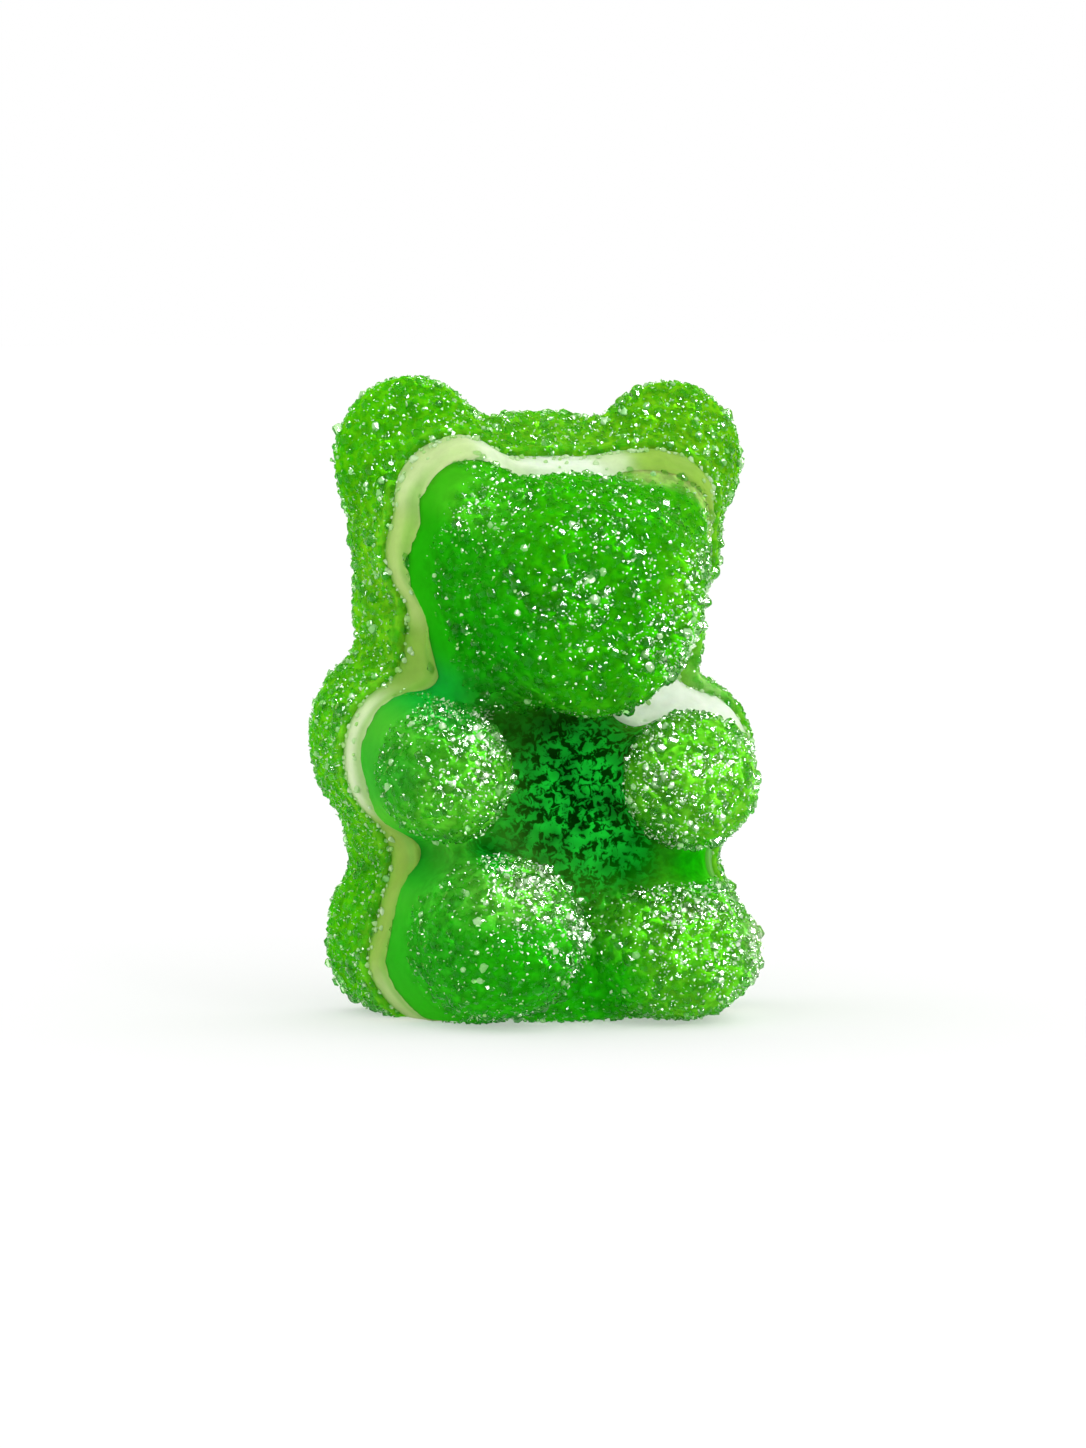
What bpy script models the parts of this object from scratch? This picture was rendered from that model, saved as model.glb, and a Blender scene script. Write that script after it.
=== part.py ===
"""A sugared gummy bear cast in three layers: a green front, a cream sheet and a green back.

Run it with: blender --background --python part.py
Sizes are in millimetres and are turned into metres as each mesh is made. The bear stands on its
flat base at z = 0, faces -Y and has +X on the right of its front view.
"""

import math
from dataclasses import dataclass

import bmesh
import bpy

MM = 0.001

# Depths of the casting, from the flat back to the face.
BACK_FACE_Y = 8.7
BACK_EDGE_ROUNDING = 2.6  # how far in front of the back face its rounded edge starts
CREAM_BACK_Y = 2.0
CREAM_FRONT_Y = 0.0
LAYER_GAP = 0.3  # clearance that neighbouring solids keep
CREAM_INSET = 0.25  # how far the cream's edge lies below the gummy's

# Meshing of the blank that the three layers are cut from.
RING_POINTS = 48
DOME_RINGS = 8
EDGE_RINGS = 4
VOXEL = 0.45
FILLET_PASSES = 12
BLANK_TRIANGLES = 5600
CUTTER_SIZE = 60.0


@dataclass
class Ring:
    """An upright oval across the bear, at depth y: its centre, half width and half height.

    The taper says how much wider the oval is near its top than at its middle, and how much
    narrower near its bottom.
    """

    y: float
    x: float
    z: float
    half_w: float
    half_h: float
    taper: float = 0.0

    def point(self, turn):
        width = self.half_w * (1 + self.taper * math.sin(turn))
        return (
            (self.x + width * math.cos(turn)) * MM,
            self.y * MM,
            (self.z + self.half_h * math.sin(turn)) * MM,
        )


@dataclass
class Lobe:
    """One swelling of the bear: rings from back to front, closed by a dome that ends at nose_y."""

    rings: list
    nose_y: float
    nose_x: float
    nose_z: float


BACK_Y = BACK_FACE_Y - BACK_EDGE_ROUNDING  # the widest outline

HEAD = Lobe(
    [
        Ring(BACK_Y, 0.4, 26.9, 11.1, 6.9),
        Ring(CREAM_BACK_Y, 0.2, 25.6, 9.8, 6.1, 0.04),
        Ring(CREAM_FRONT_Y, 0.1, 24.9, 8.9, 5.7, 0.12),
        Ring(-2.5, 0.0, 24.2, 8.1, 6.6, 0.18),
        Ring(-5.5, 0.5, 23.3, 6.5, 6.3, 0.15),
    ],
    nose_y=-8.5,
    nose_x=1.1,
    nose_z=22.9,
)
EAR_LEFT = Lobe(
    [
        Ring(BACK_Y, -7.0, 31.1, 4.5, 5.0),
        Ring(CREAM_BACK_Y, -5.3, 29.5, 3.5, 3.5),
        Ring(CREAM_FRONT_Y, -5.0, 28.9, 3.2, 3.1),
        Ring(-1.5, -4.7, 28.2, 3.0, 2.9),
    ],
    nose_y=-4.7,
    nose_x=-4.1,
    nose_z=27.0,
)
EAR_RIGHT = Lobe(
    [
        Ring(BACK_Y, 8.3, 31.1, 4.5, 4.6),
        Ring(CREAM_BACK_Y, 6.6, 28.9, 3.6, 3.2),
        Ring(CREAM_FRONT_Y, 6.0, 28.3, 3.2, 2.9),
        Ring(-1.5, 5.5, 27.6, 3.0, 2.7),
    ],
    nose_y=-4.7,
    nose_x=4.9,
    nose_z=26.6,
)
NECK = Lobe(
    [
        Ring(BACK_Y, -0.3, 22.6, 10.2, 6.6),
        Ring(CREAM_BACK_Y, 0.15, 21.0, 9.25, 4.6),
        Ring(CREAM_FRONT_Y, -1.1, 20.5, 6.3, 4.0),
    ],
    nose_y=-2.5,
    nose_x=-0.8,
    nose_z=20.0,
)
CHEEK_LEFT = Lobe(
    [
        Ring(CREAM_FRONT_Y, -3.6, 20.7, 3.6, 3.4),
        Ring(-2.5, -3.0, 20.5, 3.8, 3.2),
    ],
    nose_y=-6.2,
    nose_x=-2.0,
    nose_z=20.8,
)
TORSO = Lobe(
    [
        Ring(BACK_Y, 0.4, 12.0, 11.5, 11.5),
        Ring(CREAM_BACK_Y, 0.2, 11.5, 10.1, 10.5),
        Ring(CREAM_FRONT_Y, 0.2, 9.0, 8.6, 8.4),
        Ring(-1.6, 0.5, 8.8, 7.6, 8.2),
    ],
    nose_y=-3.0,
    nose_x=0.5,
    nose_z=8.8,
)
ARM_LEFT = Lobe(
    [
        Ring(BACK_Y, -8.4, 15.5, 4.6, 5.4),
        Ring(CREAM_BACK_Y, -8.2, 14.8, 4.0, 4.6),
        Ring(CREAM_FRONT_Y, -7.95, 14.5, 3.85, 4.2),
        Ring(-4.5, -7.5, 14.0, 3.7, 3.8),
    ],
    nose_y=-8.0,
    nose_x=-7.2,
    nose_z=13.8,
)
ARM_RIGHT = Lobe(
    [
        Ring(BACK_Y, 8.5, 14.6, 4.5, 4.5),
        Ring(CREAM_BACK_Y, 8.0, 14.3, 4.2, 4.6),
        Ring(CREAM_FRONT_Y, 7.5, 13.4, 4.1, 3.6),
        Ring(-4.5, 6.4, 13.5, 4.0, 4.0),
    ],
    nose_y=-8.0,
    nose_x=6.4,
    nose_z=13.4,
)
LEG_LEFT = Lobe(
    [
        Ring(BACK_Y, -7.4, 4.4, 4.6, 5.0),
        Ring(CREAM_BACK_Y, -6.7, 4.3, 4.2, 5.1),
        Ring(CREAM_FRONT_Y, -6.1, 4.4, 4.1, 5.0),
        Ring(-4.5, -4.6, 5.1, 4.8, 4.7),
    ],
    nose_y=-8.8,
    nose_x=-4.2,
    nose_z=4.9,
)
LEG_RIGHT = Lobe(
    [
        Ring(BACK_Y, 8.1, 4.4, 4.5, 5.0),
        Ring(CREAM_BACK_Y, 7.3, 4.1, 4.2, 4.7),
        Ring(CREAM_FRONT_Y, 6.7, 4.0, 4.2, 4.6),
        Ring(-4.5, 5.7, 4.0, 4.8, 3.9),
    ],
    nose_y=-8.6,
    nose_x=5.7,
    nose_z=3.9,
)
SEAT = Lobe(
    [
        Ring(BACK_Y, 0.5, 4.0, 9.2, 4.8),
        Ring(CREAM_BACK_Y, 0.5, 4.0, 8.2, 4.7),
        Ring(-2.1, 0.5, 3.4, 6.5, 3.8),
    ],
    nose_y=-4.4,
    nose_x=0.7,
    nose_z=2.8,
)
LOBES = (
    HEAD,
    EAR_LEFT,
    EAR_RIGHT,
    NECK,
    CHEEK_LEFT,
    TORSO,
    ARM_LEFT,
    ARM_RIGHT,
    LEG_LEFT,
    LEG_RIGHT,
    SEAT,
)

GREEN_FRONT = (0.045, 0.36, 0.012, 1.0)
GREEN_BACK = (0.09, 0.45, 0.02, 1.0)
CREAM = (0.72, 0.78, 0.50, 1.0)


def clear_scene():
    for obj in list(bpy.data.objects):
        bpy.data.objects.remove(obj)


def principled(name, colour, roughness, subsurface):
    material = bpy.data.materials.new(name)
    material.use_nodes = True
    shader = material.node_tree.nodes["Principled BSDF"]
    shader.inputs["Base Color"].default_value = colour
    shader.inputs["Roughness"].default_value = roughness
    shader.inputs["Subsurface Weight"].default_value = subsurface
    return material


def blended(a, b, t):
    return Ring(*(p + (q - p) * t for p, q in zip(vars(a).values(), vars(b).values())))


def lobe_rings(lobe):
    """The lobe's rings with its rounded back edge and its front dome added, from back to front."""
    back, front = lobe.rings[0], lobe.rings[-1]
    rings = []
    for step in range(EDGE_RINGS):
        angle = math.pi / 2 * (1 - step / EDGE_RINGS)
        inset = BACK_EDGE_ROUNDING * (1 - math.cos(angle))
        depth = BACK_EDGE_ROUNDING * math.sin(angle)
        rim = Ring(back.y + depth, back.x, back.z, back.half_w - inset, back.half_h - inset)
        rings.append(rim)
    rings += lobe.rings
    for step in range(1, DOME_RINGS):
        angle = math.pi / 2 * step / DOME_RINGS
        nose = Ring(lobe.nose_y, lobe.nose_x, lobe.nose_z, front.half_w, front.half_h)
        ring = blended(front, nose, math.sin(angle))
        ring.half_w *= math.cos(angle)
        ring.half_h *= math.cos(angle)
        rings.append(ring)
    return rings


def add_lobe(bm, lobe):
    """Adds the lobe to bm as a closed shell of bridged rings."""
    loops = []
    for ring in lobe_rings(lobe):
        turns = (2 * math.pi * i / RING_POINTS for i in range(RING_POINTS))
        loops.append([bm.verts.new(ring.point(turn)) for turn in turns])
    for one, two in zip(loops, loops[1:]):
        for i in range(RING_POINTS):
            j = (i + 1) % RING_POINTS
            bm.faces.new((one[i], one[j], two[j], two[i]))
    nose = bm.verts.new((lobe.nose_x * MM, lobe.nose_y * MM, lobe.nose_z * MM))
    for i in range(RING_POINTS):
        bm.faces.new((loops[-1][i], loops[-1][(i + 1) % RING_POINTS], nose))
    bm.faces.new(loops[0])


def mesh_object(name, mesh):
    obj = bpy.data.objects.new(name, mesh)
    bpy.context.scene.collection.objects.link(obj)
    return obj


def helper(obj):
    """Marks a cutter or a guide, which isn't part of the bear."""
    obj.hide_render = True
    obj.display_type = "WIRE"
    return obj


def box(name, low, high):
    """A helper box between two corners, in millimetres."""
    mesh = bpy.data.meshes.new(name)
    bm = bmesh.new()
    bmesh.ops.create_cube(bm, size=1.0)
    for vert in bm.verts:
        for axis in range(3):
            vert.co[axis] = (low[axis] if vert.co[axis] < 0 else high[axis]) * MM
    bm.to_mesh(mesh)
    bm.free()
    return helper(mesh_object(name, mesh))


def boolean(obj, operation, other):
    modifier = obj.modifiers.new(other.name, "BOOLEAN")
    modifier.operation = operation
    modifier.object = other


def bear_blank():
    """The whole bear in one piece: the lobes melted together and stood on a flat base."""
    bm = bmesh.new()
    for lobe in LOBES:
        add_lobe(bm, lobe)
    bmesh.ops.recalc_face_normals(bm, faces=bm.faces)
    mesh = bpy.data.meshes.new("bear_lobes")
    bm.to_mesh(mesh)
    bm.free()
    blank = helper(mesh_object("bear_lobes", mesh))
    melt = blank.modifiers.new("Melt", "REMESH")
    melt.mode = "VOXEL"
    melt.voxel_size = VOXEL * MM
    fillet = blank.modifiers.new("Fillet", "SMOOTH")
    fillet.factor = 0.5
    fillet.iterations = FILLET_PASSES
    thin = blank.modifiers.new("Thin", "DECIMATE")
    graph = bpy.context.evaluated_depsgraph_get()
    faces = len(blank.evaluated_get(graph).data.polygons)
    thin.ratio = min(1.0, BLANK_TRIANGLES / (2 * faces))
    graph.update()
    mesh = bpy.data.meshes.new_from_object(blank.evaluated_get(graph))
    mesh.shade_smooth()
    return mesh


def layer(name, blank, y_low, y_high, material, inset=0.0):
    """The part of the blank between two depths, above the floor, as a node of its own."""
    obj = mesh_object(name, blank.copy())
    obj.data.materials.clear()
    obj.data.materials.append(material)
    if inset:
        shrink = obj.modifiers.new("Inset", "DISPLACE")
        shrink.strength = -inset * MM
        shrink.mid_level = 0.0
    half = CUTTER_SIZE / 2
    slab = box(name + "_slab", (-half, y_low, 0.0), (half, y_high, CUTTER_SIZE))
    boolean(obj, "INTERSECT", slab)
    return obj


def main():
    clear_scene()
    blank = bear_blank()
    front = principled("gummy_green_front", GREEN_FRONT, 0.35, 0.6)
    back = principled("gummy_green_back", GREEN_BACK, 0.35, 0.6)
    cream = principled("cream_foam", CREAM, 0.6, 0.4)
    half_gap = LAYER_GAP / 2
    far = CUTTER_SIZE / 2
    layer("gummy_front", blank, -far, CREAM_FRONT_Y - half_gap, front)
    layer(
        "cream_layer",
        blank,
        CREAM_FRONT_Y + half_gap,
        CREAM_BACK_Y - half_gap,
        cream,
        CREAM_INSET,
    )
    layer("gummy_back", blank, CREAM_BACK_Y + half_gap, far, back)


main()
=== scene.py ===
"""The looks of a sugared gummy bear cast in three layers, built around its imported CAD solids.

The three layers are remeshed finely and painted, and then covered in sugar grains of real mesh.
Lengths are in metres, except where a comment says mm. The bear faces -Y and stands on z = 0.
"""

import math
from collections.abc import Callable
from dataclasses import dataclass

import bmesh
import bpy
import numpy as np
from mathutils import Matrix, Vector, noise


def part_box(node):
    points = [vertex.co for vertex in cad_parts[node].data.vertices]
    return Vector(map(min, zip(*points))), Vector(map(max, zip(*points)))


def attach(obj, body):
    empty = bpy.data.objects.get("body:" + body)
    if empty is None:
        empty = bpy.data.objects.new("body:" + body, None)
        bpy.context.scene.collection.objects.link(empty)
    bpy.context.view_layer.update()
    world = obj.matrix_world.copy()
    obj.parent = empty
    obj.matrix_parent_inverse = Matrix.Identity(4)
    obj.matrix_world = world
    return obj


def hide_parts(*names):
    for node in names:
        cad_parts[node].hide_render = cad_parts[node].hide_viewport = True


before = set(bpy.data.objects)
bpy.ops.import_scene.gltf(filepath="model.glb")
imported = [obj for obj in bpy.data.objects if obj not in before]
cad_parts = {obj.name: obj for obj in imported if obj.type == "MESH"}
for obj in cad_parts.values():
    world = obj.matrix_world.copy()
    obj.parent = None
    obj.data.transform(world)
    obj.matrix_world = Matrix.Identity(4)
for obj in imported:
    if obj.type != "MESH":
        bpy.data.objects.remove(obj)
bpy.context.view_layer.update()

MM = 0.001
SEED = 7

BACK_LOW, BACK_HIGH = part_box("gummy_back")
CREAM_LOW, CREAM_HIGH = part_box("cream_layer")
FRONT_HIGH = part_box("gummy_front")[1]
HEIGHT = BACK_HIGH.z
SEAM_FRONT = (FRONT_HIGH.y + CREAM_LOW.y) / 2  # the y at which the front meets the cream
SEAM_BACK = (CREAM_HIGH.y + BACK_LOW.y) / 2  # the y at which the cream meets the back

FINE_VOXEL = 0.25 * MM
RELAX_STEPS = 6
MERGE = 1e-6  # points nearer than this are one
COAT = 0.16 * MM  # how far the jelly lies below the tops of its sugar grains
TUCK = 0.5 * MM  # how far the foam reaches into the jelly on either side
LUMP_SIZE = 2.2 * MM
LUMP_DEPTH = 0.10 * MM
FOAM_LUMPS = 0.5  # the foam's lumps, as a share of the jelly's

SEAM_REACH = 2.5  # mm in front of and behind the seams that wander with them
SEAM_WANDER = 0.16 * MM
WANDER_SIZE = 4 * MM
RIPPLE_SIZE = 0.8 * MM
EDGE_RIPPLE = 0.07 * MM  # the small ripples in the seams everywhere
TOP_RIPPLE = 0.25 * MM  # the same over the top of the head
TOP_SEAM_SHIFT = 0.5 * MM  # how much further back the rear seam runs over the top of the head
TOP_LIFT = 0.22 * MM  # how much the foam and the back rise above the CAD between the ears
FRONT_DIP = 0.15 * MM  # how much the front drops there
EAR_RISE = 0.5 * MM  # how much the seams rise where they start up the right ear


# ---------------------------------------------------------------- numbers and meshes


def srgb(r, g, b):
    """A colour read off a screen, 0 to 255, as the linear colour that a shader takes."""
    shares = (v / 255 for v in (r, g, b))
    return tuple(v / 12.92 if v <= 0.04045 else ((v + 0.055) / 1.055) ** 2.4 for v in shares)


def smoothstep(low, high, value):
    """0 at low and 1 at high, with a smooth rise between. High may be the smaller number."""
    t = np.clip((value - low) / (high - low), 0.0, 1.0)
    return t * t * (3 - 2 * t)


def bell(offset, reach):
    """1 where the offset is 0, fading to 0 beyond the reach."""
    return np.exp(-((offset / reach) ** 2))


def away_from(points, x, z, reach):
    """The square of each point's distance from (x, z) in mm, with the reach as the unit."""
    return ((points[:, 0] / MM - x) ** 2 + (points[:, 2] / MM - z) ** 2) / reach**2


def coordinates(mesh):
    co = np.empty(len(mesh.vertices) * 3, np.float32)
    mesh.vertices.foreach_get("co", co)
    return co.reshape(-1, 3).astype(np.float64)


def normals(mesh):
    values = np.empty(len(mesh.vertices) * 3, np.float32)
    mesh.vertex_normals.foreach_get("vector", values)
    return values.reshape(-1, 3).astype(np.float64)


def set_coordinates(mesh, co):
    mesh.vertices.foreach_set("co", co.astype(np.float32).ravel())
    mesh.update()


def noise_at(points, size, offset):
    """Smooth noise between -1 and 1 at each point, with features of about that size."""
    shift = Vector((offset, offset * 1.7, -offset))
    return np.array([noise.noise(Vector(p) / size + shift) for p in points])


def link(obj):
    bpy.context.scene.collection.objects.link(obj)
    return obj


def paint(mesh, name, colours):
    """Stores a linear colour for each vertex, for the material to read."""
    attribute = mesh.color_attributes.new(name, "FLOAT_COLOR", "POINT")
    rgba = np.ones((len(mesh.vertices), 4), np.float32)
    rgba[:, :3] = colours
    attribute.data.foreach_set("color", rgba.ravel())


def store(mesh, name, values):
    """Stores a number for each vertex, for the material to read."""
    attribute = mesh.attributes.new(name, "FLOAT", "POINT")
    attribute.data.foreach_set("value", np.asarray(values, np.float32))


def blend_of(spots, points):
    """A colour at each point, blended from (x, z, reach, colour) spots given in mm."""
    total = np.zeros((len(points), 3))
    weights = np.zeros(len(points))
    for x, z, reach, colour in spots:
        weight = 1.0 / (0.05 + away_from(points, x, z, reach)) ** 2
        total += weight[:, None] * np.array(srgb(*colour))
        weights += weight
    return total / weights[:, None]


def tinted(colours, colour, share):
    """The colours, with that share of another colour mixed in at each point."""
    return colours * (1 - share) + np.array(srgb(*colour)) * share


# ---------------------------------------------------------------- the three layers

# Where a seam runs off the CAD's outline, as (x, z, reach, push along x, part moved), in mm.
SEAM_PUSHES = [
    (-9.3, 28.8, 2.4, -0.60, "rear"),
    (-9.6, 26.0, 1.6, -0.30, "rear"),
    (-6.9, 21.5, 1.2, -0.50, "front"),
    (-11.4, 13.2, 1.5, 0.50, "front"),
    (-11.6, 16.0, 1.4, 0.20, "front"),
    (-10.3, 5.8, 1.8, 0.45, "both"),
    (-10.2, 2.8, 1.2, -0.25, "both"),
]


def shift_back(points, near):
    """How far each point moves along y, with the seams' own wander and ripples."""
    y, z = points[:, 1] / MM, points[:, 2] / MM
    seam_front, seam_back = SEAM_FRONT / MM, SEAM_BACK / MM
    crown = smoothstep(28.5, 30.5, z)
    outline = points * [1, 0, 1]
    wander = SEAM_WANDER * noise_at(outline, WANDER_SIZE, 3.1)
    ripple = EDGE_RIPPLE + (TOP_RIPPLE - EDGE_RIPPLE) * crown
    wander += ripple * noise_at(outline, RIPPLE_SIZE, 7.7)
    behind = smoothstep(seam_front, seam_back, y)
    behind *= bell(np.maximum(y - seam_back, 0.0), SEAM_REACH)
    return wander * near + TOP_SEAM_SHIFT * crown * behind


def shift_sideways(points, near, ahead):
    """How far each point moves along x, to put the seams where the photo shows them."""
    share = {"front": ahead, "rear": 1 - ahead, "both": 1.0}
    shift = np.zeros(len(points))
    for x, z, reach, push, part in SEAM_PUSHES:
        shift += push * MM * near * share[part] * np.exp(-away_from(points, x, z, reach))
    return shift


def shift_up(points, near, ahead):
    """How far each point rises, over the top of the head."""
    x, z = points[:, 0] / MM, points[:, 2] / MM
    between_ears = np.exp(-(((x - 0.5) / 6.0) ** 4))
    lift = TOP_LIFT * between_ears * (1 - ahead) - FRONT_DIP * ahead
    lift += EAR_RISE * near * bell(x - 3.9, 1.3)
    return lift * smoothstep(26.5, 29.5, z)


def wandering(points):
    """Moves points so that the seams between the layers wander a little, as poured layers do."""
    y = points[:, 1] / MM
    seam_front, seam_back = SEAM_FRONT / MM, SEAM_BACK / MM
    near = bell(y - (seam_front + seam_back) / 2, SEAM_REACH)
    ahead = smoothstep(seam_front + 0.5, seam_front - 0.3, y)
    moved = points.copy()
    moved[:, 0] += shift_sideways(points, near, ahead)
    moved[:, 1] += shift_back(points, near)
    moved[:, 2] += shift_up(points, near, ahead)
    return moved


def coarse_layer(name, node, low_y, high_y):
    """A CAD layer's mesh as a new object, with its seam faces moved to low_y and high_y.

    A face whose new y is None stays.
    """
    bm = bmesh.new()
    bm.from_mesh(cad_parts[node].data)
    bmesh.ops.remove_doubles(bm, verts=bm.verts, dist=MERGE)
    box_low, box_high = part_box(node)
    for vert in bm.verts:
        if low_y is not None and abs(vert.co.y - box_low.y) < MERGE:
            vert.co.y = low_y
        if high_y is not None and abs(vert.co.y - box_high.y) < MERGE:
            vert.co.y = high_y
    mesh = bpy.data.meshes.new(name)
    bm.to_mesh(mesh)
    bm.free()
    return link(bpy.data.objects.new(name, mesh))


def remeshed(coarse):
    """A mesh of small, even faces in the shape of the object, which it removes."""
    remesh = coarse.modifiers.new("Remesh", "REMESH")
    remesh.mode = "VOXEL"
    remesh.voxel_size = FINE_VOXEL
    relax = coarse.modifiers.new("Relax", "SMOOTH")
    relax.iterations = RELAX_STEPS
    graph = bpy.context.evaluated_depsgraph_get()
    fine = bpy.data.meshes.new_from_object(coarse.evaluated_get(graph))
    bpy.data.objects.remove(coarse)
    return fine


def fine_layer(name, coarse, coat, lumps):
    """A fine, uneven copy of a coarse layer.

    coat gives how far the skin lies below the CAD's, to leave room for sugar.
    """
    fine = remeshed(coarse)
    fine.name = name
    co, nor = coordinates(fine), normals(fine)
    lift = LUMP_DEPTH * lumps * noise_at(co, LUMP_SIZE, 1.0) - coat(co, nor)
    co = wandering(co + nor * lift[:, None])
    co[:, 2] = np.maximum(co[:, 2], 0.0)
    set_coordinates(fine, co)
    fine.shade_smooth()
    fine.materials.clear()
    return link(bpy.data.objects.new(name, fine))


# ---------------------------------------------------------------- materials

# Painted shade: the hollow's near black stands for the shade in its recess; the bright flecks are
# its own crazing.
HOLLOW_SHADE = srgb(0, 50, 2)
HOLLOW_FLECK = srgb(20, 176, 48)

# Noise scales: how many features the object's own space holds in a metre.
SKIN_SCALE = 1600.0
CRACK_SCALE = 2300.0
PATCH_SCALE = 500.0
FOAM_SCALE = 900.0
NOISE_LOW, NOISE_HIGH = 0.35, 0.65  # nearly all of a noise texture lies between these
SKIN_MOTTLE = 0.24


def material(name):
    made = bpy.data.materials.new(name)
    made.use_nodes = True
    return made, made.node_tree, made.node_tree.nodes["Principled BSDF"]


def add(tree, kind, **settings):
    node = tree.nodes.new(kind)
    for key, value in settings.items():
        setattr(node, key, value)
    return node


def object_noise(tree, scale, detail, distortion=0.0):
    """The output of a noise texture laid in the object's own space."""
    coords = add(tree, "ShaderNodeTexCoord")
    cloud = add(tree, "ShaderNodeTexNoise")
    cloud.inputs["Scale"].default_value = scale
    cloud.inputs["Detail"].default_value = detail
    cloud.inputs["Roughness"].default_value = 0.6
    cloud.inputs["Distortion"].default_value = distortion
    tree.links.new(coords.outputs["Object"], cloud.inputs["Vector"])
    return cloud.outputs["Fac"]


def spread(tree, value, low, high, bottom=0.0, top=1.0):
    """Maps low..high of the value to bottom..top."""
    node = add(tree, "ShaderNodeMapRange")
    node.inputs["From Min"].default_value = low
    node.inputs["From Max"].default_value = high
    node.inputs["To Min"].default_value = bottom
    node.inputs["To Max"].default_value = top
    tree.links.new(value, node.inputs["Value"])
    return node.outputs["Result"]


def scaled(tree, colour, factor):
    node = add(tree, "ShaderNodeVectorMath", operation="SCALE")
    tree.links.new(colour, node.inputs[0])
    tree.links.new(factor, node.inputs["Scale"])
    return node.outputs["Vector"]


def mixed(tree, factor, a, b):
    """Colour a where the factor is 0 and b where it is 1. Each is a colour or an output."""
    node = add(tree, "ShaderNodeMix", data_type="RGBA")
    tree.links.new(factor, node.inputs["Factor"])
    for socket, value in (("A", a), ("B", b)):
        if isinstance(value, tuple):
            node.inputs[socket].default_value = (*value, 1.0)
        else:
            tree.links.new(value, node.inputs[socket])
    return node.outputs["Result"]


def painted(tree):
    return add(tree, "ShaderNodeAttribute", attribute_name="tone").outputs["Color"]


def stored(tree, name):
    return add(tree, "ShaderNodeAttribute", attribute_name=name).outputs["Fac"]


def skin_colour(tree):
    """The painted colour, mottled where the skin is rough."""
    cloud = object_noise(tree, SKIN_SCALE, 3.0)
    mottle = spread(tree, cloud, NOISE_LOW, NOISE_HIGH, -SKIN_MOTTLE, SKIN_MOTTLE)
    weighted = add(tree, "ShaderNodeMath", operation="MULTIPLY_ADD")
    tree.links.new(mottle, weighted.inputs[0])
    tree.links.new(stored(tree, "rough"), weighted.inputs[1])
    weighted.inputs[2].default_value = 1.0
    return scaled(tree, painted(tree), weighted.outputs["Value"])


def hollow_colour(tree):
    """Bright flecks on near black, in lighter and darker patches: the crazed belly. The near black
    is painted shade of the recess, darkened further under the chin by the stored painted shade.
    """
    cracks = spread(tree, object_noise(tree, CRACK_SCALE, 3.0, 0.7), 0.45, 0.53)
    hollow = mixed(tree, cracks, HOLLOW_SHADE, HOLLOW_FLECK)
    patches = spread(tree, object_noise(tree, PATCH_SCALE, 2.0), NOISE_LOW, NOISE_HIGH, 0.5, 1.5)
    # The stored light darkens the hollow under the chin: painted shade.
    return scaled(tree, scaled(tree, hollow, patches), stored(tree, "light"))


def jelly_material(name):
    made, tree, shader = material(name)
    colour = mixed(tree, stored(tree, "bare"), skin_colour(tree), hollow_colour(tree))
    tree.links.new(colour, shader.inputs["Base Color"])
    shader.inputs["Roughness"].default_value = 0.3
    shader.inputs["IOR"].default_value = 1.38
    shader.inputs["Specular IOR Level"].default_value = 0.0
    shader.inputs["Subsurface Weight"].default_value = 0.8
    shader.inputs["Subsurface Radius"].default_value = (0.3, 1.0, 0.2)
    shader.inputs["Subsurface Scale"].default_value = 2.0 * MM
    return made


def cream_material():
    made, tree, shader = material("cream_foam")
    cloud = object_noise(tree, FOAM_SCALE, 4.0)
    mottle = spread(tree, cloud, NOISE_LOW, NOISE_HIGH, 0.92, 1.06)
    tree.links.new(scaled(tree, painted(tree), mottle), shader.inputs["Base Color"])
    shader.inputs["Roughness"].default_value = 0.55
    shader.inputs["Specular IOR Level"].default_value = 0.3
    shader.inputs["Subsurface Weight"].default_value = 0.4
    shader.inputs["Subsurface Radius"].default_value = (0.8, 1.0, 0.6)
    shader.inputs["Subsurface Scale"].default_value = 0.4 * MM
    return made


def sugar_material(name, roughness, ior, level, clear):
    """Sugar in the grains' own colours. Clear is the share of the light that goes through."""
    made, tree, shader = material(name)
    tree.links.new(painted(tree), shader.inputs["Base Color"])
    shader.inputs["Roughness"].default_value = roughness
    shader.inputs["IOR"].default_value = ior
    shader.inputs["Specular IOR Level"].default_value = level
    shader.inputs["Transmission Weight"].default_value = clear
    return made


# ---------------------------------------------------------------- the shapes of the grains


BOX_CORNERS = np.array([(x, y, z) for x in (-1, 1) for y in (-1, 1) for z in (-1, 1)])
BOX_SIDES = np.array([(1, 0, 0), (-1, 0, 0), (0, 1, 0), (0, -1, 0), (0, 0, 1), (0, 0, -1)])


def crystal_shape(rng):
    """A dry crystal about 1 across: a skewed box with broken edges, flatter than wide."""
    half = rng.uniform([0.75, 0.75, 0.6], [1.15, 1.0, 0.85]) / 2
    broken = rng.uniform(0.16, 0.24)
    sides = [np.where(np.arange(3) == axis, half, half - broken) for axis in range(3)]
    points = np.concatenate([BOX_CORNERS * side for side in sides])
    points += rng.uniform(-0.035, 0.035, points.shape)
    return hull_of(points)


def pebble_shape(rng):
    """A wet grain about 1 across: a box whose corners have melted away and whose sides bulge."""
    points = np.concatenate([0.31 * BOX_CORNERS, 0.48 * BOX_SIDES])
    points *= rng.uniform([0.8, 0.8, 0.65], [1.25, 1.1, 0.95])
    points += rng.normal(0, 0.045, points.shape)
    return hull_of(points)


def speck_shape(rng):
    """A speck of sugar dust about 1 across: a splinter with six corners."""
    points = rng.normal(size=(6, 3))
    points *= 0.5 / np.linalg.norm(points, axis=1)[:, None]
    return hull_of(points * rng.uniform([0.7, 0.7, 0.7], [1.3, 1.3, 1.0]))


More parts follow.
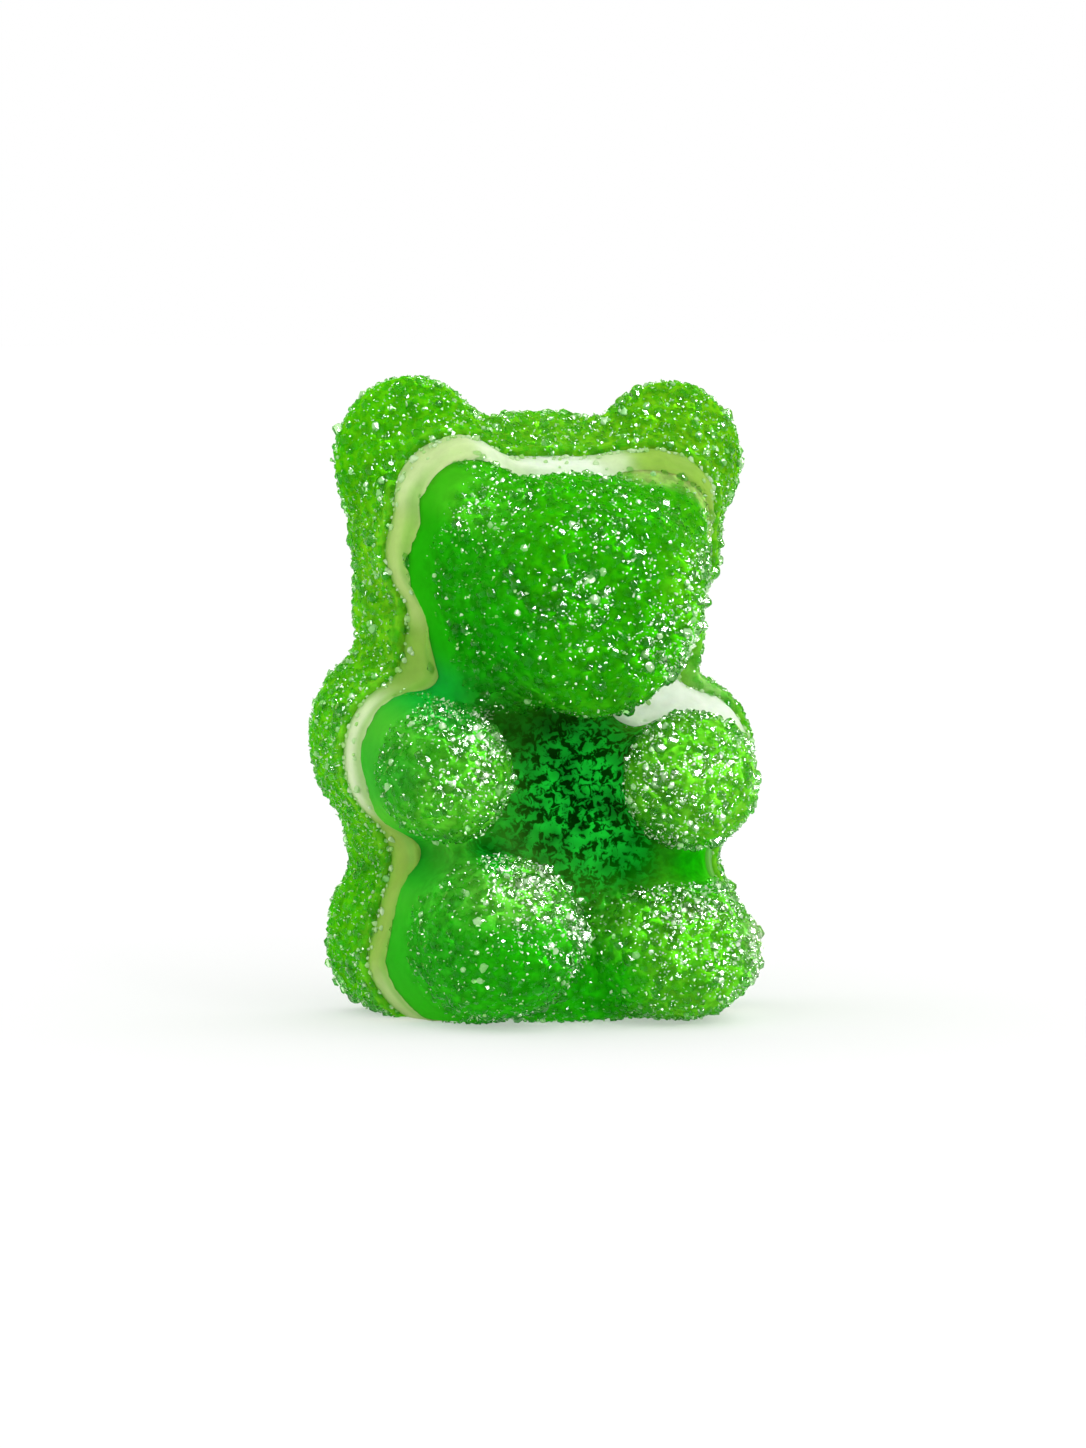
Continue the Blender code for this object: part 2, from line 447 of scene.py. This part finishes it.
def bead_shape(rng):
    """A round drop of melted sugar about 1 across."""
    bm = bmesh.new()
    bmesh.ops.create_icosphere(bm, subdivisions=2, radius=0.5)
    size = rng.uniform([0.8, 0.8, 0.6], [1.1, 1.0, 0.9])
    for vert in bm.verts:
        vert.co = Vector(vert.co[axis] * size[axis] for axis in range(3))
    return shape_of(bm)


def hull_of(points):
    """The points and triangles of the smallest convex shape around some points."""
    bm = bmesh.new()
    verts = [bm.verts.new(p) for p in points]
    made = bmesh.ops.convex_hull(bm, input=verts)
    unused = [e for e in made["geom_interior"] if isinstance(e, bmesh.types.BMVert)]
    bmesh.ops.delete(bm, geom=unused, context="VERTS")
    return shape_of(bm)


def shape_of(bm):
    """The points and triangles of bm, which it frees."""
    bmesh.ops.triangulate(bm, faces=bm.faces)
    bmesh.ops.recalc_face_normals(bm, faces=bm.faces)
    bm.verts.index_update()
    points = np.array([v.co[:] for v in bm.verts])
    faces = np.array([[v.index for v in f.verts] for f in bm.faces])
    bm.free()
    return points, faces


# ---------------------------------------------------------------- the kinds of grain


@dataclass
class Grain:
    """A kind of sugar grain, with lengths in mm."""

    label: str
    sugar: str  # the key of its material
    shape: Callable
    spacing: float
    size: float
    varies: float  # the spread of the logarithm of its size
    sunk: float  # the share of it below the surface; negative lifts it clear
    tilt: float
    tints: tuple  # the greenest and the whitest, as linear colours


MELTED_TINTS = ((0.50, 0.95, 0.38), (0.86, 0.99, 0.80))

WET = Grain(
    label="wet",
    sugar="wet",
    shape=pebble_shape,
    spacing=0.38,
    size=0.47,
    varies=0.25,
    sunk=0.60,
    tilt=0.30,
    tints=MELTED_TINTS,
)
FROSTED = Grain(
    label="frosted",
    sugar="frosted",
    shape=pebble_shape,
    spacing=0.32,
    size=0.32,
    varies=0.28,
    sunk=0.30,
    tilt=0.40,
    tints=((0.16, 0.66, 0.08), (0.72, 0.94, 0.62)),
)
DRY = Grain(
    label="dry",
    sugar="dry",
    shape=crystal_shape,
    spacing=0.28,
    size=0.36,
    varies=0.40,
    sunk=0.22,
    tilt=0.60,
    tints=((0.50, 0.98, 0.38), (0.90, 1.00, 0.84)),
)
DUST = Grain(
    label="dust",
    sugar="dust",
    shape=speck_shape,
    spacing=0.13,
    size=0.155,
    varies=0.30,
    sunk=-0.40,
    tilt=1.00,
    tints=((0.30, 0.76, 0.16), (0.96, 1.00, 0.92)),
)
BEAD = Grain(
    label="bead",
    sugar="dry",
    shape=bead_shape,
    spacing=0.90,
    size=0.62,
    varies=0.20,
    sunk=0.50,
    tilt=0.20,
    tints=MELTED_TINTS,
)
CRUMB = Grain(
    label="crumb",
    sugar="frosted",
    shape=pebble_shape,
    spacing=0.26,
    size=0.27,
    varies=0.30,
    sunk=0.40,
    tilt=0.50,
    tints=((0.40, 0.78, 0.20), (0.88, 0.96, 0.80)),
)

# How likely a grain of each kind is to lie at any point of the back.
BACK_SHARES = {"wet": 1.0, "frosted": 0.06, "dry": 0.08, "dust": 0.17, "bead": 0.05}


# ---------------------------------------------------------------- laying the grains

GRAIN_SHAPES = 12  # different shapes of each kind
GRAIN_HEIGHT = 0.75  # a grain's usual height as a share of its width
SIZE_LIMIT = 0.7  # the most that the logarithm of a size may be off
TRIES_PER_SPACE = 3.5  # points tried for each square of one spacing
SEAM_GAP = 0.02 * MM  # no grain lies nearer to its layer's seam


def random_points(mesh, spacing, rng):
    """Points spread evenly at random over a mesh, with their normals."""
    mesh.calc_loop_triangles()
    tris = np.empty(len(mesh.loop_triangles) * 3, np.int32)
    mesh.loop_triangles.foreach_get("vertices", tris)
    tris = tris.reshape(-1, 3)
    co, nor = coordinates(mesh), normals(mesh)
    a, b, c = co[tris[:, 0]], co[tris[:, 1]], co[tris[:, 2]]
    areas = np.linalg.norm(np.cross(b - a, c - a), axis=1) / 2
    tries = int(TRIES_PER_SPACE * areas.sum() / spacing**2)
    chosen = rng.choice(len(tris), size=tries, p=areas / areas.sum())
    u, v = rng.random(tries), rng.random(tries)
    flip = u + v > 1
    u[flip], v[flip] = 1 - u[flip], 1 - v[flip]
    weights = np.stack([1 - u - v, u, v], axis=1)[:, :, None]
    points = (co[tris[chosen]] * weights).sum(1)
    normal = (nor[tris[chosen]] * weights).sum(1)
    return points, normal / np.linalg.norm(normal, axis=1)[:, None]


def spaced(points, spacing):
    """The indices of points that are no closer together than spacing, the earliest first."""
    cells = {}
    kept = []
    keys = np.floor(points / spacing).astype(int)
    near = [(i, j, k) for i in (-1, 0, 1) for j in (-1, 0, 1) for k in (-1, 0, 1)]
    for index, point in enumerate(points):
        x, y, z = keys[index]
        for i, j, k in near:
            other = cells.get((x + i, y + j, z + k))
            if other is not None and ((points[other] - point) ** 2).sum() < spacing**2:
                break
        else:
            cells[(x, y, z)] = index
            kept.append(index)
    return kept


def laid(normal, tilt, rng):
    """Rotation matrices that lay each grain's flat side on the surface, tilted a little."""
    count = len(normal)
    up = normal + rng.normal(0, tilt, (count, 3))
    up /= np.linalg.norm(up, axis=1)[:, None]
    side = rng.normal(size=(count, 3))
    side -= (side * up).sum(1)[:, None] * up
    side /= np.linalg.norm(side, axis=1)[:, None]
    return np.stack([side, np.cross(up, side), up], axis=2)


def grains(name, grain, points, normal, size, tint, rng):
    """One object of grains, each of its own size, sunk into the surface by a share of its size."""
    shapes = [grain.shape(rng) for _ in range(GRAIN_SHAPES)]
    kind = rng.integers(0, GRAIN_SHAPES, len(points))
    spins = laid(normal, grain.tilt, rng)
    lift = size * GRAIN_HEIGHT * (0.5 - grain.sunk)
    all_points, all_faces, all_tints = [], [], []
    start = 0
    for number, (shape, faces) in enumerate(shapes):
        mine = np.flatnonzero(kind == number)
        spun = np.einsum("nij,vj->nvi", spins[mine], shape) * size[mine, None, None]
        centre = points[mine] + normal[mine] * lift[mine, None]
        placed = spun + centre[:, None, :]
        block = faces[None] + (start + len(shape) * np.arange(len(mine)))[:, None, None]
        all_points.append(placed.reshape(-1, 3))
        all_faces.append(block.reshape(-1, 3))
        all_tints.append(np.repeat(tint[mine], len(shape), axis=0))
        start += len(mine) * len(shape)
    co = np.concatenate(all_points)
    co[:, 2] = np.maximum(co[:, 2], 0.0)
    mesh = bpy.data.meshes.new(name)
    mesh.from_pydata(co.tolist(), [], np.concatenate(all_faces).tolist())
    paint(mesh, "tone", np.concatenate(all_tints))
    return link(bpy.data.objects.new(name, mesh))


# ---------------------------------------------------------------- colours, by place

THIN_OLIVE = (138, 184, 84)
# Painted sheen: the back is made lighter on the right shoulder by the seam, where its edge catches
# the light.
SHOULDER_SHEEN = (150, 208, 112)
SHOULDER_SHEEN_PLACE = (9.8, 18.6, 1.483)  # x, z and reach in mm
BACK_EDGE = (126, 184, 52)
CREAM_EDGE = (110, 176, 46)

# Colours painted on the layers, as (x, z, reach, colour) with lengths in mm.
# The foam's own colour is nearly white; these spots paint light and shade on it: whitest on top and
# where light falls, olive where it is shaded and takes green light through the jelly.
CREAM_LIT_AND_SHADED = [
    (-6.5, 31.0, 3.0, (196, 218, 152)),
    (-3.0, 31.5, 2.0, (226, 240, 208)),
    (0.5, 31.5, 3.0, (234, 245, 226)),
    (3.3, 31.6, 1.2, (202, 224, 172)),
    (5.8, 31.0, 1.8, (142, 184, 62)),
    (8.6, 28.8, 2.4, (138, 182, 56)),
    (9.0, 27.0, 1.6, (142, 186, 66)),
    (-9.2, 26.5, 2.4, (170, 202, 108)),
    (-8.9, 23.5, 1.8, (176, 204, 110)),
    (-8.8, 20.5, 2.2, (134, 178, 58)),
    (-11.0, 15.0, 3.0, (208, 226, 178)),
    (-9.2, 9.5, 2.5, (140, 178, 58)),
    (-9.9, 5.0, 2.4, (144, 182, 70)),
    (-8.8, 1.5, 1.6, (170, 200, 118)),
    (8.0, 18.5, 3.0, (246, 253, 240)),
    (11.0, 12.0, 2.5, (110, 180, 60)),
    (9.0, 9.0, 2.5, (70, 170, 30)),
    (8.0, 2.0, 2.5, (190, 214, 150)),
]
FRONT_SPOTS = [
    (1.0, 25.0, 5.0, (48, 170, 4)),
    (5.5, 24.5, 2.5, (84, 182, 18)),
    (-7.5, 26.0, 2.5, (30, 160, 8)),
    (-5.8, 28.8, 1.4, (70, 180, 26)),
    (-5.5, 21.5, 2.5, (24, 160, 6)),
    (-7.5, 18.5, 1.8, (18, 168, 46)),
    (-11.0, 14.0, 1.8, (52, 160, 38)),
    (-7.5, 13.5, 3.0, (86, 184, 40)),
    (7.5, 13.0, 3.0, (104, 194, 38)),
    (-9.0, 9.5, 1.6, (14, 160, 26)),
    (-5.0, 9.4, 1.4, (12, 172, 22)),
    # Painted shade: darker above the right leg, in the crease of the waist.
    (3.5, 9.4, 1.6, (6, 142, 6)),
    (7.2, 8.9, 1.6, (22, 182, 4)),
    (-8.5, 4.5, 1.8, (40, 162, 24)),
    (-4.5, 4.5, 3.0, (34, 176, 10)),
    (-4.5, 7.5, 2.5, (102, 190, 60)),
    (6.5, 4.0, 3.0, (92, 188, 28)),
    # The next three are painted highlight: the right-hand edges made lighter, where the light from
    # the right falls.
    (10.2, 4.6, 1.5, (158, 222, 120)),
    (10.4, 13.4, 1.2, (132, 212, 84)),
    (8.0, 22.4, 1.2, (118, 194, 60)),
    (1.0, 2.0, 1.6, (34, 190, 10)),
]
BACK_SPOTS = [
    (-8.0, 31.0, 4.0, (82, 184, 8)),
    (0.0, 30.0, 4.0, (98, 187, 24)),
    (8.0, 31.0, 4.0, (100, 181, 16)),
    (-11.0, 25.0, 4.0, (106, 198, 20)),
    (-11.0, 14.0, 4.0, (88, 192, 16)),
    (-9.0, 4.0, 4.0, (78, 188, 10)),
    (9.0, 10.0, 5.0, (92, 190, 24)),
    (0.0, 15.0, 8.0, (90, 188, 18)),
]

# Where the sugar lies dry and thick on the front, as (x, z, reach, share) with lengths in mm. These
# are also where the light from the upper right falls, and the whiter grains there are partly
# painted highlight.
FROST_AND_SHEEN_SPOTS = [
    (0.5, 27.0, 3.4, 0.34),
    (-1.2, 23.4, 2.8, 0.48),
    (-5.2, 28.6, 1.8, 0.60),
    (2.2, 25.0, 2.4, 0.45),
    (4.8, 21.8, 2.7, 0.85),
    (6.2, 24.6, 2.1, 0.62),
    (-6.6, 14.8, 2.6, 1.00),
    (-7.8, 16.4, 1.8, 0.60),
    (5.8, 13.8, 3.6, 1.00),
    (-3.4, 7.8, 2.8, 1.00),
    (-1.4, 5.4, 2.0, 0.95),
    (5.8, 5.6, 3.0, 1.00),
    (9.0, 4.4, 3.2, 1.00),
    (9.5, 8.0, 1.6, 0.60),
]
LEAST_FROST = 0.05
FROST_PATCH = 1.4 * MM


def belly_share(points):
    """1 on the crazed hollow between the arms and legs, fading to 0 around it. There the front is
    painted near black, as shade of the recess.
    """
    x, y, z = (points / MM).T
    oval = np.exp(-((((x - 0.5) / 5.4) ** 2 + ((z - 13.0) / 6.6) ** 2) ** 2))
    lobe = 0.75 * np.exp(-(((x + 3.8) / 2.6) ** 2 + ((z - 9.6) / 1.2) ** 2))
    return np.maximum(oval, lobe) * smoothstep(-4.8, -3.6, y)


def chin_shade(points):
    """1 in the deepest corner of the hollow, between the chin and the left arm, where painted shade
    darkens it most.
    """
    x, _, z = (points / MM).T
    return np.exp(-(((x + 2.0) / 2.2) ** 2 + ((z - 17.0) / 2.0) ** 2))


def waist_share(points):
    """1 on the smooth waist between the arms and the legs, fading to 0 around it."""
    _, y, z = (points / MM).T
    return np.exp(-(((z - 9.2) / 1.9) ** 4)) * smoothstep(-5.2, -4.0, y)


def wall_share(points, normal):
    """1 on the smooth left-hand walls beside the cream, fading to 0 further forward.

    The wall is narrower along the face.
    """
    left = smoothstep(0.15, -0.55, normal[:, 0])
    depth = (SEAM_FRONT - points[:, 1]) / MM
    face = smoothstep(17.5, 20.0, points[:, 2] / MM)
    return left * smoothstep(4.2 - 0.9 * face, 2.0 - 0.6 * face, depth)


def thin_share(points):
    """1 on the thin rim by the right ear, where the cream shows through the jelly."""
    x, y, z = (points / MM).T
    across = smoothstep(2.5, 5.0, x) * smoothstep(24.5, 27.0, z)
    depth = SEAM_FRONT / MM - y
    return across * smoothstep(2.4, 1.4, depth)


def bare_share(points, normal):
    """How free of sugar the front is at each point."""
    hollow = np.maximum(0.95 * belly_share(points), 0.97 * waist_share(points))
    bare = np.maximum(hollow, 0.52 * thin_share(points))
    return np.maximum(wall_share(points, normal), bare)


def frost_and_sheen_share(points):
    """How much of the sugar is dry and white at each point of the front. The white is partly a
    painted highlight, where the light from the upper right falls.
    """
    share = np.full(len(points), LEAST_FROST)
    for x, z, reach, strength in FROST_AND_SHEEN_SPOTS:
        share = np.maximum(share, strength * np.exp(-away_from(points, x, z, reach)))
    patches = 0.75 + 0.9 * noise_at(points, FROST_PATCH, 5.0)
    return np.clip(share * patches, 0.0, 1.0)


def near_seam(points, seam, reach):
    """1 at a seam, fading to 0 beyond the reach, as a column that scales colours."""
    return bell(points[:, 1] - seam, reach)[:, None]


def front_coat(points, normal):
    """The room left for sugar on the front, half of it on the smooth walls."""
    return COAT * (1 - 0.5 * wall_share(points, normal))


def back_coat(points, _normal):
    """The room left for sugar on the back, little of it beside the seam, so that no step shows."""
    return COAT * (1 - 0.8 * bell(points[:, 1] - SEAM_BACK, 0.4 * MM))


def no_coat(points, _normal):
    return np.zeros(len(points))


def paint_front(mesh):
    """Paints the front, and stores where it is crazed, how mottled it is and how much painted shade
    darkens it under the chin.
    """
    co = coordinates(mesh)
    thin = thin_share(co)[:, None]
    paint(mesh, "tone", tinted(blend_of(FRONT_SPOTS, co), THIN_OLIVE, thin))
    store(mesh, "bare", belly_share(co))
    store(mesh, "rough", 1 - 0.85 * wall_share(co, normals(mesh)))
    # Painted shade: light darkens the hollow under the chin.
    store(mesh, "light", 1 - 0.75 * chin_shade(co))


def paint_back(mesh):
    """Paints the back, more olive at its seam, with a painted sheen on the right shoulder."""
    co = coordinates(mesh)
    edge = 0.3 * near_seam(co, SEAM_BACK, 0.7 * MM)
    colours = tinted(blend_of(BACK_SPOTS, co), BACK_EDGE, edge)
    # Painted sheen on the right shoulder, beside the seam.
    sheen = np.exp(-away_from(co, *SHOULDER_SHEEN_PLACE))[:, None] * near_seam(co, SEAM_BACK, 2.5 * MM)
    paint(mesh, "tone", tinted(colours, SHOULDER_SHEEN, sheen))
    store(mesh, "bare", np.zeros(len(co)))
    store(mesh, "rough", np.full(len(co), 0.8))
    store(mesh, "light", np.ones(len(co)))


def paint_cream(mesh):
    """Paints the foam, greener at its seams, above all down the left side, where that green is
    painted shade.
    """
    co = coordinates(mesh)
    edge = near_seam(co, SEAM_FRONT, 0.45 * MM) + near_seam(co, SEAM_BACK, 0.45 * MM)
    # Painted shade: the seams are greener still down the shaded left side.
    side = smoothstep(31.5, 29.5, co[:, 2] / MM) * smoothstep(2.0, -2.0, co[:, 0] / MM)
    edge *= 0.15 + 0.5 * side[:, None]
    paint(mesh, "tone", tinted(blend_of(CREAM_LIT_AND_SHADED, co), CREAM_EDGE, edge))


# ---------------------------------------------------------------- the bear


def front_share(label, points, normal):
    """How likely a grain of that kind is to lie at each point of the front."""
    clean = 1 - smoothstep(0.15, 0.75, bare_share(points, normal))
    frost = frost_and_sheen_share(points)
    share = {
        "wet": 1 - 0.75 * frost,
        "frosted": 0.02 + 0.42 * frost**2,
        "dry": 0.88 * frost,
        "dust": 0.04 + 0.96 * frost,
        "bead": 0.05 + 0.3 * frost,
    }[label]
    return share * clean


def back_share(label, points, _normal):
    return np.full(len(points), BACK_SHARES[label])


def cream_share(_label, points, _normal):
    """How likely a crumb is to lie at each point of the foam: mostly beside the back layer."""
    depth = np.abs(points[:, 1] - SEAM_BACK) / MM
    return 0.02 + 0.8 * bell(depth, 0.28)


def add_sugar(side, piece, seam, grain, share, sugars, rng):
    """Scatters grains of one kind over a layer, as one object."""
    points, normal = random_points(piece.data, grain.spacing * MM, rng)
    kept = spaced(points, grain.spacing * MM)
    points, normal = points[kept], normal[kept]
    chosen = rng.random(len(points)) < share(grain.label, points, normal)
    chosen &= np.abs(points[:, 1] - seam) > SEAM_GAP
    points, normal = points[chosen], normal[chosen]
    growth = np.clip(rng.normal(0, grain.varies, len(points)), -SIZE_LIMIT, SIZE_LIMIT)
    size = grain.size * MM * np.exp(growth)
    whiteness = 0.6 * rng.random(len(points))
    if side == "front":
        size *= 1 - 0.45 * smoothstep(0.0, 0.5, wall_share(points, normal))
        # Whiter grains where the frost lies: partly the sugar's own white, partly painted
        # highlight.
        whiteness = np.clip(0.8 * whiteness + 0.7 * frost_and_sheen_share(points), 0, 1)
    green, white = np.array(grain.tints)
    tint = green + (white - green) * whiteness[:, None]
    made = grains(f"sugar_{side}_{grain.label}", grain, points, normal, size, tint, rng)
    made.visible_shadow = False
    made.data.materials.append(sugars[grain.sugar])
    if grain is BEAD:
        made.data.shade_smooth()
    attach(made, "root")
    return made


def add_layer(name, node, coarse, coat, lumps):
    layer = fine_layer(name, coarse, coat, lumps)
    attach(layer, "root")
    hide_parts(node)
    return layer


def build_layers():
    """Builds and paints the front, the back and the foam between them."""
    coarse = coarse_layer("front_coarse", "gummy_front", None, SEAM_FRONT)
    front = add_layer("jelly_front", "gummy_front", coarse, front_coat, 1.0)
    coarse = coarse_layer("back_coarse", "gummy_back", SEAM_BACK, None)
    back = add_layer("jelly_back", "gummy_back", coarse, back_coat, 1.0)
    coarse = coarse_layer("cream_coarse", "cream_layer", SEAM_FRONT - TUCK, SEAM_BACK + TUCK)
    cream = add_layer("cream", "cream_layer", coarse, no_coat, FOAM_LUMPS)
    paint_front(front.data)
    paint_back(back.data)
    paint_cream(cream.data)
    front.data.materials.append(jelly_material("jelly_front"))
    back.data.materials.append(jelly_material("jelly_back"))
    cream.data.materials.append(cream_material())
    return front, back, cream


def build_sugar(front, back, cream):
    """Covers the layers in sugar and returns the collection of the pieces that glint."""
    sugars = {
        "wet": sugar_material("sugar_wet", roughness=0.10, ior=1.24, level=1.0, clear=1.0),
        "frosted": sugar_material("sugar_frosted", roughness=0.25, ior=1.35, level=0.5, clear=0.25),
        "dry": sugar_material("sugar_dry", roughness=0.05, ior=1.32, level=1.0, clear=1.0),
        "dust": sugar_material("sugar_dust", roughness=0.25, ior=1.45, level=0.5, clear=0.2),
    }
    rng = np.random.default_rng(SEED)
    glinting = bpy.data.collections.new("crystals")
    sides = (
        ("front", front, SEAM_FRONT, front_share),
        ("back", back, SEAM_BACK, back_share),
    )
    for side, piece, seam, share in sides:
        for grain in (WET, FROSTED, DRY, DUST, BEAD):
            made = add_sugar(side, piece, seam, grain, share, sugars, rng)
            if grain is not WET:
                glinting.objects.link(made)
    add_sugar("cream", cream, SEAM_FRONT, CRUMB, cream_share, sugars, rng)
    return glinting


# ---------------------------------------------------------------- stage, light and camera

VIEW_AZIMUTH, VIEW_ELEVATION = -15, 4  # degrees: the camera stands to the viewer's left
VIEW_DISTANCE = 0.4
VIEW_SPAN = 81 * MM  # the height of the picture at the bear
VIEW_CENTRE = (-0.7 * MM, 0.5 * MM, 16.44 * MM)
SENSOR = 36  # the camera's default, in mm as its lens is

ROOM_LIGHT = 1.12
MIRRORED_ROOM = (0.75, 1.15, 0.30)
FLOOR_GREY = 0.55
FLOOR_GLOW = 0.40
FLOOR_HALF = 60 * HEIGHT

# The lamps, by azimuth and elevation in degrees, and by the diameter of the disk.
KEY_LAMP = (18, 35, 0.10)
KEY_DISTANCE = 0.45
KEY_POWER = 0.15
GLINT_LAMPS = {
    "glint_front": (18, 28, 0.32),
    "glint_side": (50, 22, 0.31),
    "glint_top": (20, 65, 0.20),
}
GLINT_DISTANCE = 0.3
GLINT_RADIANCE = 40
GLINT_BOUNCES = 2.5  # the ray depth at which glints stop


def aim(obj, at):
    obj.rotation_euler = (obj.location - at).to_track_quat("Z", "Y").to_euler()


def direction(azimuth, elevation):
    a, e = math.radians(azimuth), math.radians(elevation)
    return Vector((math.sin(a) * math.cos(e), -math.cos(a) * math.cos(e), math.sin(e)))


def area_light(name, azimuth, elevation, distance, size, power, target):
    data = bpy.data.lights.new(name, "AREA")
    data.shape = "DISK"
    data.size = size
    data.energy = power
    lamp = link(bpy.data.objects.new(name, data))
    lamp.location = target + direction(azimuth, elevation) * distance
    aim(lamp, target)
    return lamp


def glint_light(name, azimuth, elevation, size, target, crystals):
    """A lamp that only the crystals mirror: it gives glints without lighting anything.

    It shines on what is seen directly only, so the glints cast no spots of light around them.
    """
    power = GLINT_RADIANCE * math.pi * (math.pi * size**2 / 4)
    lamp = area_light(name, azimuth, elevation, GLINT_DISTANCE, size, power, target)
    lamp.visible_diffuse = False
    lamp.visible_transmission = False
    lamp.light_linking.receiver_collection = crystals
    lamp.data.use_nodes = True
    tree = lamp.data.node_tree
    path = add(tree, "ShaderNodeLightPath")
    first = add(tree, "ShaderNodeMath", operation="LESS_THAN")
    first.inputs[1].default_value = GLINT_BOUNCES
    tree.links.new(path.outputs["Ray Depth"], first.inputs[0])
    tree.links.new(first.outputs["Value"], tree.nodes["Emission"].inputs["Strength"])


def build_world():
    """A white room. What mirrors in the bear's shiny skin is a dim green room instead.

    The camera sees plain white, and whatever shines through the grains is the white room.
    """
    world = bpy.data.worlds.new("studio")
    world.use_nodes = True
    bpy.context.scene.world = world
    tree = world.node_tree
    path = add(tree, "ShaderNodeLightPath")
    # A ray that went through a grain counts as glossy too, so those are taken off.
    reflected = add(tree, "ShaderNodeMath", operation="SUBTRACT", use_clamp=True)
    tree.links.new(path.outputs["Is Glossy Ray"], reflected.inputs[0])
    tree.links.new(path.outputs["Is Transmission Ray"], reflected.inputs[1])
    room = mixed(tree, reflected.outputs["Value"], (ROOM_LIGHT,) * 3, MIRRORED_ROOM)
    seen = mixed(tree, path.outputs["Is Camera Ray"], room, (1.0, 1.0, 1.0))
    tree.links.new(seen, tree.nodes["Background"].inputs["Color"])


def build_floor():
    mesh = bpy.data.meshes.new("floor")
    corners = [(x * FLOOR_HALF, y * FLOOR_HALF, 0) for x, y in ((-1, -1), (1, -1), (1, 1), (-1, 1))]
    mesh.from_pydata(corners, [], [(0, 1, 2, 3)])
    floor = link(bpy.data.objects.new("floor", mesh))
    made, _, shader = material("floor_white")
    shader.inputs["Base Color"].default_value = (FLOOR_GREY, FLOOR_GREY, FLOOR_GREY, 1)
    shader.inputs["Emission Color"].default_value = (1, 1, 1, 1)
    shader.inputs["Emission Strength"].default_value = FLOOR_GLOW
    shader.inputs["Roughness"].default_value = 0.8
    shader.inputs["Specular IOR Level"].default_value = 0.0
    mesh.materials.append(made)


def build_lamps(crystals):
    middle = Vector((0, 0, HEIGHT / 2))
    azimuth, elevation, size = KEY_LAMP
    area_light("key", azimuth, elevation, KEY_DISTANCE, size, KEY_POWER, middle)
    for name, (azimuth, elevation, size) in GLINT_LAMPS.items():
        glint_light(name, azimuth, elevation, size, middle, crystals)


def build_camera():
    data = bpy.data.cameras.new("camera")
    data.lens = SENSOR * VIEW_DISTANCE / VIEW_SPAN
    data.clip_start = 0.01
    camera = link(bpy.data.objects.new("camera", data))
    target = Vector(VIEW_CENTRE)
    camera.location = target + direction(VIEW_AZIMUTH, VIEW_ELEVATION) * VIEW_DISTANCE
    aim(camera, target)
    bpy.context.scene.camera = camera


bpy.context.scene.view_settings.view_transform = "Standard"
front_layer, back_layer, cream_layer = build_layers()
crystals = build_sugar(front_layer, back_layer, cream_layer)
build_world()
build_floor()
build_lamps(crystals)
build_camera()
